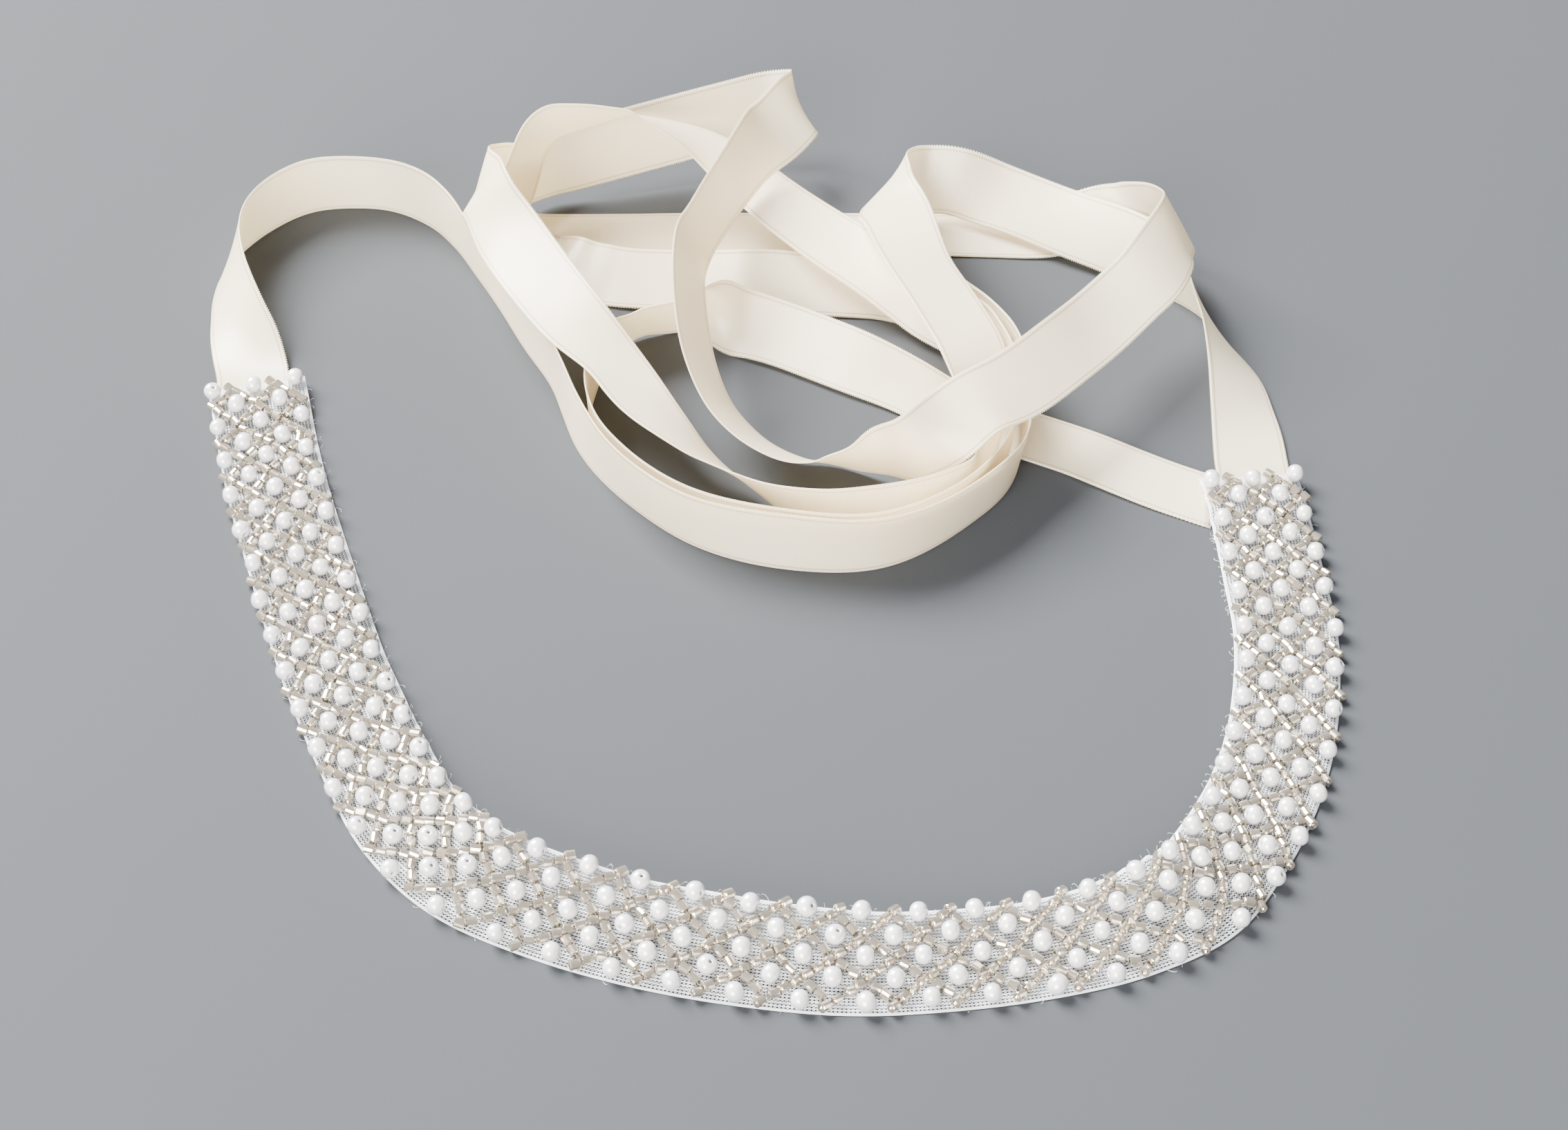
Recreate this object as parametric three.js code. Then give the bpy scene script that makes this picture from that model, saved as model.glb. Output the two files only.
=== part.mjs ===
import * as THREE from 'three';

// A bridal sash lying on a table: a narrow band of white net set with pearls and
// glass tube beads, and two long satin ribbon ties heaped in loose loops.
// Millimetres, +Z up, the table is Z = 0, the middle of the picture is the origin.

// Driving sizes
const RIBBON_WIDTH = 16;
const WALL = 1;
const SEAM_GAP = 0.7;
const BAND_WIDTH = 21.5;
const PEARL_ROWS = 5;
const PEARL_ROW_PITCH = 4.7;
const PEARL_HALF_PITCH = 5.7;
const PEARL_TOP = 3.4;
const PEARL_FLAT_ACROSS = 1.0;
const PEARL_FLAT_ALONG = 0.9;
const BAND_LIFT = 1.35;
const BAND_LIFT_LENGTH = 16;
const STEP = 5;
const TURN_STEP = THREE.MathUtils.degToRad(12);

// Looks
const SATIN = { color: '#f3ede0', roughness: 0.38, metalness: 0 };
const NET = { color: '#ebe8e2', roughness: 0.45, metalness: 0 };

// The band's middle line on the table, from the left tie round to the right tie,
// and how far its inner edge stands up where the curve rolls it.
const BAND_COLUMNS = ['x', 'y', 'rise'];
const BAND_LINE = [
  [-120.8, 58.5, 0],
  [-112.3, 24, 0],
  [-104, -2.5, 0],
  [-92.6, -36.4, 0.8],
  [-82.7, -59.8, 2.8],
  [-73.3, -77.4, 5.5],
  [-60.8, -91, 7.5],
  [-45.5, -99.3, 6.8],
  [-28.2, -105.8, 6.6],
  [-7.2, -110.8, 6.8],
  [12.6, -112.8, 5],
  [31.3, -111.6, 3.8],
  [50, -108.4, 2.6],
  [66, -104, 4.5],
  [80, -96.5, 6],
  [88, -85, 4.5],
  [94.9, -71.5, 2],
  [100.5, -56, 0.5],
  [104.5, -36.5, 0],
  [106, -19.2, 0],
  [105.4, -5, 0],
  [104.5, 12, 0],
  [102.8, 27, 0],
];

// Each row is one section across the ribbon: selvage a and selvage b.
// The section's middle and its direction count; its length is always the ribbon's width.
const EDGE_COLUMNS = ['ax', 'ay', 'az', 'bx', 'by', 'bz'];

const LEFT_TIE = {
  left_tie_arch: [
    [-129, 54, 0.5, -113.2, 55, 0.5],
    [-129, 60, 0.5, -113.2, 61, 0.5],
    [-131.4, 70, 0.5, -116, 71.5, 3],
    [-133.2, 80, 0.4, -121, 80, 10.8],
    [-133.9, 90, 0.2, -125.5, 91, 14],
    [-133, 100, 0.1, -127.5, 101.5, 15.5],
    [-130, 109, 0, -127, 109, 16],
    [-122.5, 120, 0, -122, 119, 16],
    [-114.5, 126, 0, -114.5, 125, 16],
    [-104, 127.5, 0, -104.5, 126.5, 16],
    [-94.5, 126, 0, -94, 125, 16],
    [-85, 119.5, 0, -85.5, 120, 16],
    [-79.3, 112, 0, -79.5, 112, 16],
    [-72.5, 100, 0, -73, 98, 16],
    [-67.5, 90, 0, -67.5, 90, 16],
    [-60, 73.5, 0, -60, 73.5, 16],
  ],
  left_tie_front_ring: [
    [-52.4, 58.3, 0, -52.4, 58.3, 16],
    [-50, 50, 0, -49.5, 50, 16],
    [-46.4, 38.7, 0, -46, 39, 16],
    [-34.5, 20, 0, -36, 19, 16],
    [-20, 6.3, 0, -21, 5, 16],
    [0, -1.2, 0, 0, -1.5, 16],
    [20, -1, 0, 20, -3, 16],
    [40, 12.4, 0, 41, 9, 16],
    [50.6, 26.6, 0.8, 53.5, 26, 16.3],
    [53, 36, 2, 54.3, 36, 17.6],
    [53.5, 46, 2, 54.6, 45, 17.6],
    [52, 57, 1.6, 53.3, 55.6, 17.4],
    [50, 65, 1, 50.3, 64.7, 16.8],
    [46, 71, 0.8, 45, 73.3, 16.4],
    [41, 75.5, 0.6, 41.6, 78, 15.3],
  ],
  left_tie_low_strand: [
    [34, 79.5, 0.6, 37, 88, 12],
    [26, 83, 0.6, 29, 96, 8.5],
    [10, 85, 0.6, 10, 99.8, 6.5],
    [0, 86, 0.6, 0, 100.3, 7.8],
    [-20, 87.4, 0.6, -20, 102.3, 6.2],
    [-38, 88.4, 0.6, -39.5, 103.3, 6.2],
    [-46, 91.4, 0.6, -49.5, 106.3, 5.2],
    [-56, 96.4, 0.6, -59.4, 110.5, 5.5],
    [-64, 99.5, 0.8, -63, 106, 13],
    [-67, 105.5, 2.5, -65.5, 105.5, 18.3],
    [-64.5, 111, 5.5, -67.3, 108.3, 21],
  ],
  left_tie_back_arch: [
    [-60.8, 115.5, 9.5, -65.3, 111.2, 24],
    [-58.5, 121, 13.3, -63.8, 115.5, 27.6],
    [-57, 127, 16.5, -60.8, 120.5, 30.5],
    [-54, 131.5, 17.5, -56, 124.5, 31.8],
    [-49.2, 134, 18, -49.4, 125.5, 31.5],
    [-41.9, 137.1, 18, -42, 126.3, 29.8],
    [-37.5, 140.1, 18.5, -36.6, 127, 27.5],
    [-28, 139.6, 17, -31.8, 126, 25],
    [-16.5, 136.6, 15, -25.2, 124.3, 20.8],
  ],
  left_tie_cross_strand: [
    [-3.9, 128, 12.5, -16.4, 118.1, 15],
    [6.2, 117, 12, -6.5, 107.5, 12],
    [19.2, 103.5, 12, 7.3, 94.2, 9],
    [28.3, 95.5, 12.5, 17.5, 85.5, 6.8],
    [33, 88.5, 13.5, 25.5, 79.7, 4.6],
    [36, 80, 15.5, 31, 75, 3.3],
    [41, 74, 16.5, 37, 69.7, 2.6],
  ],
  left_tie_inner_ring: [
    [46, 68.8, 16.6, 43.5, 65.5, 1.5],
    [48, 64.3, 16.5, 47, 62, 1.3],
    [50, 58.4, 17.2, 49.5, 56.5, 1.6],
    [51.3, 52, 17.6, 51, 50, 2],
    [51.8, 44, 17.7, 51.5, 43, 2.1],
    [51.5, 36, 17.6, 50.5, 36, 2],
    [50, 27.5, 16.3, 48, 28.5, 0.6],
    [39.7, 10.8, 16, 38.8, 14, 0],
    [20, -1, 16, 20, 1, 0],
    [0, 0.3, 16, 0, 0.8, 0],
    [-20, 7, 16, -19, 8.3, 0],
    [-34.8, 20.6, 16, -33.2, 21.5, 0],
    [-41, 31, 16, -40.5, 31.5, 0],
    [-43.5, 40, 15.5, -43, 40, 0],
    [-44, 47, 15.5, -44, 49, 0],
    [-43, 55, 14.5, -42, 61, 0.2],
    [-38.9, 63.3, 13.5, -37.4, 73.3, 0.6],
  ],
  left_tie_tail: [
    [-32.6, 69.7, 14.8, -31.4, 77.8, 1],
    [-28, 71.8, 14.5, -27.5, 78.6, 0.8],
    [-21.3, 74.7, 13.6, -21.4, 80, 0.6],
    [-10, 82.5, 9.5, -11, 71, 1],
    [0, 80.9, 8, -4, 67.1, 1],
    [10.8, 75.4, 7.4, 5, 62, 1],
    [19.7, 70.1, 6.8, 14, 56.8, 1],
    [29.6, 65.9, 3.9, 23, 51.6, 0.8],
    [39.8, 59.7, 1.2, 31.9, 45.8, 0.5],
    [48, 54.5, 0.5, 42.5, 39.5, 0.5],
    [58.6, 48.9, 0.5, 53.7, 33.6, 0.5],
    [69.3, 43.2, 0.5, 64, 28.3, 0.5],
    [79.3, 36.8, 0.5, 74, 22, 0.5],
    [86.5, 32.7, 0.5, 79.3, 18.5, 0.5],
    [94.2, 28.7, 0.5, 87, 14.5, 0.5],
  ],
};

const RIGHT_TIE = {
  right_tie_start: [
    [96.3, 22.5, 0.5, 112.3, 22.5, 0.5],
    [96.3, 30.3, 0.5, 111.3, 30.5, 0.5],
    [96.4, 40, 3, 111, 40, 0.6],
    [96, 47.3, 6.5, 110.4, 50, 0.6],
    [96, 58.7, 9.3, 109.3, 57, 0.5],
    [95.3, 68.4, 11.8, 106.3, 65.4, 0.4],
    [94.1, 74.8, 14, 101.9, 76.4, 0.3],
    [92.6, 84.2, 15.3, 97.4, 84.8, 0.3],
  ],
  right_tie_back_strand: [
    [88.5, 98, 14.5, 90.4, 90.8, 1],
    [82.5, 108, 13, 76.8, 99.6, 2],
    [71.2, 117.6, 11.6, 64.7, 106.3, 2.5],
    [60.5, 124.5, 11.6, 53.8, 112.7, 3.5],
    [51.8, 127, 13, 44.7, 118.5, 4],
    [43.4, 128, 16.5, 37.8, 121.3, 4.2],
    [35.8, 129.5, 15.5, 27.8, 121.7, 4],
    [30.6, 125.1, 18, 20, 117.4, 7.2],
    [28.8, 113.6, 19.5, 19.1, 112.7, 10.5],
    [31.4, 102.4, 20, 20.5, 101, 17.2],
  ],
  right_tie_ring: [
    [37.1, 84.1, 19, 24.8, 74.4, 22],
    [41.3, 73, 19, 29.2, 64, 21.5],
    [44.6, 65, 18.5, 32.5, 56, 20.5],
    [47.3, 57.5, 17.5, 36, 48.5, 19],
    [47.8, 50, 14.8, 38, 39, 18.5],
    [47.6, 41, 10.5, 40, 28.5, 16.8],
    [46, 33, 6.5, 41.5, 21.5, 16.2],
    [42.6, 23.5, 1.2, 41, 16.5, 15.6],
    [35, 14, 0, 35.1, 12.6, 16],
    [29, 11, 0, 29, 9.8, 16],
    [19.3, 8.5, 0, 19.3, 7.7, 16],
    [9.7, 9, 0, 9.7, 6.7, 16],
    [0, 15.5, 1, -2, 8.5, 15.5],
    [-8, 22.5, 3, -9.7, 11.3, 15.5],
    [-12.7, 26.6, 4.8, -18.2, 16.6, 16],
    [-19.1, 32.7, 8.8, -24.5, 20, 17],
    [-26.3, 42, 12.6, -32.8, 28.1, 17],
    [-32.4, 54.2, 14, -42.4, 42.6, 18],
  ],
  right_tie_wide_strand: [
    [-40.9, 65.6, 19.8, -54.9, 58.3, 18],
    [-47.2, 75.1, 22, -62.3, 70.8, 18],
    [-53.6, 84.1, 24.1, -68.3, 83.7, 18],
    [-60.8, 93.2, 26.6, -73, 97, 18.6],
    [-65.5, 100.5, 29, -74.5, 103, 20.5],
    [-68.8, 107, 28.5, -74, 109.5, 15],
    [-70.2, 112.6, 27.5, -73.1, 114.4, 12],
    [-67.5, 118, 25, -70, 119.5, 9.3],
  ],
  right_tie_high_strand: [
    [-60.5, 127, 18.5, -64.5, 123.5, 3.5],
    [-51.5, 137, 16.5, -57.6, 127.6, 4],
    [-40, 142.8, 17.6, -43.6, 133.1, 4],
    [-28.8, 146.6, 18.6, -32.7, 136.9, 5],
    [-19.2, 149.7, 19.6, -22.5, 140.2, 6],
    [-9.6, 152.9, 20.2, -11.8, 143.8, 7],
    [-2.9, 155, 21, -3, 145.8, 8],
    [1.3, 153.7, 22.5, 5.9, 144.4, 9],
  ],
  right_tie_drop: [
    [-1.1, 149.2, 23.3, 8.1, 140.8, 12.7],
    [-7, 136, 24.3, 5, 132, 14.7],
    [-10, 123.5, 29, -2, 122.5, 15.4],
    [-14, 112, 29, -8, 112, 14.6],
    [-19, 100, 28, -14, 100, 13],
    [-22.5, 87.5, 28.5, -17.5, 88.5, 13.5],
    [-24.5, 74.5, 30, -18.5, 77.5, 16.8],
    [-24.5, 60.5, 26, -17.5, 67, 13.3],
    [-22, 47, 19.5, -15, 56, 8.4],
    [-15.5, 33.5, 14, -10.5, 46, 4.8],
    [-6.5, 24.5, 11.8, -2.5, 37, 2.1],
    [2, 20.5, 11, 4.5, 33.5, 1.2],
  ],
  right_tie_top_strand: [
    [8.8, 21.1, 11.5, 9, 32.7, 0.6],
    [15.7, 21, 13.8, 14, 29.7, 0.6],
    [21.7, 22.1, 17.3, 19.9, 26.2, 2],
    [28.2, 21, 23.9, 29.5, 19.5, 8],
    [34.1, 26, 25.5, 35.2, 17, 14.5],
    [39.4, 31.9, 25.5, 42.7, 19.5, 21],
    [48, 38.7, 26.1, 51.1, 25.6, 19.4],
    [59, 51.9, 26, 65.3, 39.5, 18.8],
    [66.7, 63.6, 23.8, 74.7, 51, 18],
    [73.5, 73.5, 23, 81.6, 60.4, 18],
    [80, 80, 24.5, 87, 69, 18],
    [83.6, 84.5, 27, 90.5, 76.5, 18],
    [86.7, 89.6, 29.5, 93, 83.4, 17.8],
  ],
  right_tie_turn: [
    [87.5, 97.5, 27, 95.5, 95.5, 13.4],
    [85.5, 106, 22, 89, 107.3, 8],
    [79.4, 115.9, 15, 80.5, 106.5, 3.5],
    [72.6, 122.8, 9, 73.5, 109.5, 1.6],
    [63, 122.8, 4, 64, 107.2, 0.8],
  ],
  right_tie_end: [
    [49.6, 123.5, 1, 49.9, 107.9, 0.5],
    [36.8, 124, 0.7, 38, 108.2, 0.5],
    [10, 124.3, 0.5, 10, 108.4, 0.5],
    [-21, 124.3, 0.5, -21, 108.4, 0.5],
    [-40, 124.3, 0.5, -40, 108.4, 0.5],
    [-62, 124.4, 0.5, -62, 108.4, 0.5],
    [-76, 125.3, 0.5, -75, 109.5, 0.5],
  ],
};

function named(columns, row) {
  return Object.fromEntries(columns.map((column, i) => [column, row[i]]));
}

// A smooth line through marks: value(t) and slope(t), with t in millimetres along the chords.
function smoothLine(points, marks) {
  const slopes = points.map((point, i) => {
    const before = Math.max(i - 1, 0);
    const after = Math.min(i + 1, points.length - 1);
    if (before === i || after === i) {
      return points[after].clone().sub(points[before]).divideScalar(marks[after] - marks[before]);
    }
    const back = point.clone().sub(points[before]).divideScalar(marks[i] - marks[before]);
    const ahead = points[after].clone().sub(point).divideScalar(marks[after] - marks[i]);
    const share = (marks[i] - marks[before]) / (marks[after] - marks[before]);
    return back.multiplyScalar(1 - share).addScaledVector(ahead, share);
  });
  return (t) => {
    let i = 0;
    while (i < points.length - 2 && t > marks[i + 1]) i += 1;
    const span = marks[i + 1] - marks[i];
    const u = (t - marks[i]) / span;
    return points[i].clone().multiplyScalar((1 + 2 * u) * (1 - u) ** 2)
      .addScaledVector(slopes[i], u * (1 - u) ** 2 * span)
      .addScaledVector(points[i + 1], u * u * (3 - 2 * u))
      .addScaledVector(slopes[i + 1], u * u * (u - 1) * span);
  };
}

function chordMarks(points) {
  const marks = [0];
  for (let i = 1; i < points.length; i += 1) {
    marks.push(marks[i - 1] + points[i].distanceTo(points[i - 1]));
  }
  return marks;
}

// A closed body from rings of points that all have the same count.
function ringBody(rings) {
  const count = rings[0].length;
  const positions = rings.flat().flatMap((point) => point.toArray());
  const faces = [];
  for (let ring = 0; ring < rings.length - 1; ring += 1) {
    for (let i = 0; i < count; i += 1) {
      const a = ring * count + i;
      const b = ring * count + ((i + 1) % count);
      faces.push(a, b, b + count, a, b + count, a + count);
    }
  }
  const corner = count - 1;
  const last = (rings.length - 1) * count;
  for (let i = 0; i < count - 2; i += 1) {
    faces.push(corner, i + 1, i);
    faces.push(last + corner, last + i, last + i + 1);
  }
  const geometry = new THREE.BufferGeometry();
  geometry.setAttribute('position', new THREE.Float32BufferAttribute(positions, 3));
  geometry.setIndex(faces);
  geometry.computeVertexNormals();
  return geometry;
}

function addMesh(group, name, geometry, look) {
  const mesh = new THREE.Mesh(geometry, new THREE.MeshStandardMaterial(look));
  mesh.name = name;
  group.add(mesh);
}

// One tie: a single smooth ribbon through all its rows, parted at the first row of each stretch.
function addTie(group, tie) {
  const names = Object.keys(tie);
  const rows = names.flatMap((name) => tie[name]).map((row) => named(EDGE_COLUMNS, row));
  const a = rows.map((row) => new THREE.Vector3(row.ax, row.ay, row.az));
  const b = rows.map((row) => new THREE.Vector3(row.bx, row.by, row.bz));
  const middles = a.map((point, i) => point.clone().add(b[i]).multiplyScalar(0.5));
  const across = a.map((point, i) => b[i].clone().sub(point).normalize());
  const marks = chordMarks(middles);
  const middleLine = smoothLine(middles, marks);
  const acrossLine = smoothLine(across, marks);

  const section = (t) => {
    const near = 0.05;
    const middle = middleLine(t);
    const travel = middleLine(Math.min(t + near, marks.at(-1)))
      .sub(middleLine(Math.max(t - near, 0))).normalize();
    const side = acrossLine(t);
    side.addScaledVector(travel, -side.dot(travel)).normalize();
    const out = side.clone().cross(travel);
    const lowest = middle.z - Math.abs(side.z) * RIBBON_WIDTH / 2 - Math.abs(out.z) * WALL / 2;
    if (lowest < 0) middle.z -= lowest;
    return { middle, side, out };
  };

  let start = 0;
  names.forEach((name, n) => {
    const end = start + tie[name].length;
    const first = marks[start] + (n === 0 ? 0 : SEAM_GAP / 2);
    const last = n === names.length - 1 ? marks.at(-1) : marks[end] - SEAM_GAP / 2;
    const stops = [first];
    for (let i = start; i < Math.min(end, rows.length - 1); i += 1) {
      const from = Math.max(marks[i], first);
      const to = Math.min(marks[i + 1], last);
      const turn = section(marks[i]).out.angleTo(section(marks[i + 1]).out);
      const parts = Math.ceil(Math.max((to - from) / STEP, turn / TURN_STEP, 1));
      for (let part = 1; part <= parts; part += 1) stops.push(from + (to - from) * part / parts);
    }
    const rings = stops.map((t) => {
      const { middle, side, out } = section(t);
      const at = (share, rise) => middle.clone()
        .addScaledVector(side, share * RIBBON_WIDTH / 2)
        .addScaledVector(out, rise * WALL / 2);
      return [at(-1, 1), at(1, 1), at(1, -1), at(-1, -1)];
    });
    addMesh(group, name, ringBody(rings), SATIN);
    start = end;
  });
}

// How high the band's outer points stand over the net at a place along and across.
function pearlRise(alongSteps, alongOffset, row, acrossOffset) {
  const onPearl = (alongSteps + row) % 2 === 0;
  return onPearl && alongOffset !== 0 && acrossOffset !== 0 ? PEARL_TOP : 0;
}

function addBand(group) {
  const rows = BAND_LINE.map((row) => named(BAND_COLUMNS, row));
  const points = rows.map((mark) => new THREE.Vector3(mark.x, mark.y, 0));
  const marks = chordMarks(points);
  const line = smoothLine(points, marks);
  const riseLine = smoothLine(rows.map((mark) => new THREE.Vector3(mark.rise, 0, 0)), marks);
  const length = marks.at(-1);
  const columns = Math.floor((length - PEARL_HALF_PITCH) / PEARL_HALF_PITCH);
  const lead = (length - (columns - 1) * PEARL_HALF_PITCH) / 2;

  const alongStops = [{ t: 0, column: 0, offset: 0 }];
  for (let column = 0; column < columns; column += 1) {
    const t = lead + column * PEARL_HALF_PITCH;
    alongStops.push({ t: t - PEARL_FLAT_ALONG, column, offset: -1 });
    alongStops.push({ t: t + PEARL_FLAT_ALONG, column, offset: 1 });
    if (column < columns - 1) alongStops.push({ t: t + PEARL_HALF_PITCH / 2, column, offset: 0 });
  }
  alongStops.push({ t: length, column: 0, offset: 0 });

  const acrossStops = [{ across: -BAND_WIDTH / 2, row: 0, offset: 0 }];
  for (let row = 0; row < PEARL_ROWS; row += 1) {
    const across = (row - (PEARL_ROWS - 1) / 2) * PEARL_ROW_PITCH;
    acrossStops.push({ across: across - PEARL_FLAT_ACROSS, row, offset: -1 });
    acrossStops.push({ across: across + PEARL_FLAT_ACROSS, row, offset: 1 });
    if (row < PEARL_ROWS - 1) {
      acrossStops.push({ across: across + PEARL_ROW_PITCH / 2, row, offset: 0 });
    }
  }
  acrossStops.push({ across: BAND_WIDTH / 2, row: 0, offset: 0 });

  const up = new THREE.Vector3(0, 0, 1);
  const rings = alongStops.map((along) => {
    const near = 0.05;
    const middle = line(along.t);
    const travel = line(Math.min(along.t + near, length))
      .sub(line(Math.max(along.t - near, 0))).normalize();
    const rise = Math.max(riseLine(along.t).x, 0);
    const side = travel.clone().cross(up).multiplyScalar(Math.sqrt(BAND_WIDTH ** 2 - rise ** 2))
      .addScaledVector(up, -rise).divideScalar(BAND_WIDTH);
    const out = side.clone().cross(travel);
    const toEnd = Math.min(along.t, length - along.t);
    const share = THREE.MathUtils.smoothstep(toEnd, BAND_LIFT_LENGTH / 2, BAND_LIFT_LENGTH);
    middle.z += rise / 2 + (WALL / 2) * out.z + BAND_LIFT * (1 - share);
    const at = (across, height) => middle.clone().addScaledVector(side, across).addScaledVector(out, height);
    const outer = acrossStops.map((stop) => at(
      stop.across,
      WALL / 2 + pearlRise(along.column, along.offset, stop.row, stop.offset),
    ));
    return [...outer, at(BAND_WIDTH / 2, -WALL / 2), at(-BAND_WIDTH / 2, -WALL / 2)];
  });
  addMesh(group, 'net_band', ringBody(rings), NET);
}

// The middle of the whole sash on the table, moved to the origin.
const REST_MIDDLE = { x: -8.8, y: 15.85 };

const sash = new THREE.Group();
sash.name = 'bridal_sash';
addBand(sash);
addTie(sash, LEFT_TIE);
addTie(sash, RIGHT_TIE);
sash.position.set(-REST_MIDDLE.x, -REST_MIDDLE.y, 0);

export default sash;
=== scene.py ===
"""A bridal sash on a table: a net band sewn with pearls and glass tube beads, and two satin ribbon ties."""

import math

import bpy
import numpy as np
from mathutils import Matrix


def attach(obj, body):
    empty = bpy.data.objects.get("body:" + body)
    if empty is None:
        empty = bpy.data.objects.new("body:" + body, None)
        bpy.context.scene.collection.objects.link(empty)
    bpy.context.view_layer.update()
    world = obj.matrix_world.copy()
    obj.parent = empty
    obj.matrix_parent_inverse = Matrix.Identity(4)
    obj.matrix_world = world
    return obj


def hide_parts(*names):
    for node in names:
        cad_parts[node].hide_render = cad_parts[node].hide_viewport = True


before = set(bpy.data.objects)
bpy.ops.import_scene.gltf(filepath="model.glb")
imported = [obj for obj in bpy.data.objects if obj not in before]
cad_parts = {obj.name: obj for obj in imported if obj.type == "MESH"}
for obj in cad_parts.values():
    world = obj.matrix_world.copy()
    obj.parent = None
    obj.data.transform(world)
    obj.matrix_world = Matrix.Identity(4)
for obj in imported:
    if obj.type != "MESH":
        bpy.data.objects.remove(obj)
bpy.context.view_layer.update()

# Sizes in millimetres
MM = 0.001

# Ribbon: its cut, and the small loops along each selvage
RIBBON_WIDTH = 16.0
RIBBON_THICK = 0.3
RIBBON_STEP = 1.2
STITCH_INSET = 0.8
PICOT_PITCH = 0.55
PICOT_RADIUS = 0.24
PICOT_HALF_HEIGHT = 0.14
PICOT_STAND = 0.08

# The columns of points across a ribbon, as shares of its half width
RIBBON_SHARES = np.array([-1, -0.97, -0.9, -0.75, -0.5, -0.25, 0, 0.25, 0.5, 0.75, 0.9, 0.97, 1])
SELVAGE_SHARE = 0.9
SELVAGE_SWELL = 1.2

# Slight waves that cup a ribbon: height, length of one radian along it, how often its phase counts
RIBBON_WAVES = [
    [0.16, 17, 1],
    [0.08, 6.1, 2],
]
CUP_LEVEL = 0.4
LEAN_HEIGHT = 0.1
LEAN_LENGTH = 11
SLANT_LENGTH = 14

# How many sections on each side even out a ribbon's middles, and its ways across
MIDDLE_REACH = 3
ACROSS_REACH = 7

# Net band: its strip, and how its ends rise over the ribbons sewn under them
BAND_WIDTH = 21.5
NET_WIDTH = 22.0
NET_THICK = 0.12
NET_STEP = 1.1
NET_COLUMNS = 21
NET_STAND = 0.15
NET_RIM = 0.2
BAND_LIFT = 1.35
BAND_LIFT_LENGTH = 16.0
RUCK_HEIGHT = 0.25
RUCK_LENGTH = 5.3
RUCK_DRIFT = 1.2
RUCK_DRIFT_LENGTH = 17
RUCK_REACH = 1.2
PUCKER_TURNS = 1.1

# Loose threads at the net's edges: most stand at its inner edge
HAIR_COUNT = 220
HAIR_INNER_SHARE = 0.85
HAIR_CROWDING = 1.5
HAIR_LENGTHS = (0.5, 1.7)
HAIR_SLANT = 1.2
HAIR_CURL = 1.9
HAIR_REACH = 0.8
HAIR_STEPS = 5
HAIR_RISE = 0.5
HAIR_RISE_SHARES = (-0.3, 1)
HAIR_BOW = 3
HAIR_LOW = 0.1
HAIR_HALF_WIDTH = 0.03
HAIR_SKEW = 0.02
HAIR_HEIGHT = 0.05

# Pearls: their rows, their barrel shape, and how unevenly they sit
PEARL_ROWS = 5
PEARL_ROW_PITCH = 4.7
PEARL_HALF_PITCH = 5.7
PEARL_END_MARGIN = 2.4
PEARL_RADIUS = 2.0
PEARL_HALF_LENGTH = 1.75
PEARL_HOLE = 0.4
PEARL_HOLE_WAIST = 0.8
PEARL_ROUNDNESS = 0.8
PEARL_BOW_POINTS = 15
PEARL_SIDES = 22
PEARL_SINK = 0.05
PEARL_SCATTER = 0.2
PEARL_SWING = 0.35
PEARL_TILT = 0.18
PEARL_UP_LEAN = 0.3
PEARL_ON_END_SHARE = 0.12
PEARL_ON_END_TILTS = (0.7, 1.3)
PEARL_SIZE_SPREAD = 0.025

# Tube beads: their lines, their cut shape, and how unevenly they sit
TUBES_IN_LINE = 3
TUBE_PAIR_PITCH = 2.6
TUBE_END_MARGIN = 0.9
TUBE_LENGTH = 2.05
TUBE_RADIUS = 1.0
TUBE_HOLE = 0.55
TUBE_LIP = 0.82
TUBE_FLANK = 0.86
TUBE_SIDES = 12
LINING_FIT = 0.97
LINING_BORE = 0.8
TUBE_SCATTER = 0.14
TUBE_RISE = 0.35
TUBE_SWING = 0.15
TUBE_LEAN = 0.45
TUBE_LEAN_SPREAD = 0.09
TUBE_SIZE_SPREAD = 0.05

# Sewing thread: it dips to the net at both ends of each bead line
THREAD_RADIUS = 0.07
THREAD_END_MARGIN = 0.5
THREAD_HEIGHTS = np.array([0.3, 1, 1, 1, 0.3])

# The kind of node that does one sum
MATHS = "ShaderNodeMath"

# Sizes of the patterns in the materials
PICK_PITCH = 0.349
STREAK_WIDTH = 0.4545
STREAK_LENGTH = 20.0
STITCH_HALF_WIDTH = 0.2
STITCH_SHARE = 0.65
PEARL_GRAIN = 0.278
THREAD_TWIST = 0.0625
BOARD_MOTTLE = 133.33
NET_ROLL = 0.4

# The threads of the net: turn across, turn along, pitch, share of the pitch that is thread
NET_THREADS = [
    [1.0, 0.0, 0.7, 0.3],
    [1.0, 0.8, 0.6, 0.12],
    [1.0, -0.8, 0.6, 0.12],
]

# Widest side of the beads' box, and of the floor, which their patterns are stretched over
BEADS_SPAN = 250.0
FLOOR_SIDE = 8000.0
FLOOR_DROP = 0.1

# The middle of the whole sash on the table, moved to the origin
REST_MIDDLE = np.array([-8.8, 15.85, 0.0])

# Camera, from the photograph: height angle, distance from the table's middle, and lens
CAMERA_ELEVATION = math.radians(43.0)
CAMERA_DISTANCE = 706.0
CAMERA_LENS = 75.4
CAMERA_FAR = 10000.0

# Soft square lights: name, place in metres, side in metres, power in watts, tint
LIGHTS = [
    ["window", (-1.5, 1.3, 2.0), 1.8, 700, "#FFFEFA"],
    ["fill", (-0.7, -1.9, 0.8), 1.4, 190, "#FFFDF8"],
]
WORLD_STRENGTH = 0.7

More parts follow.
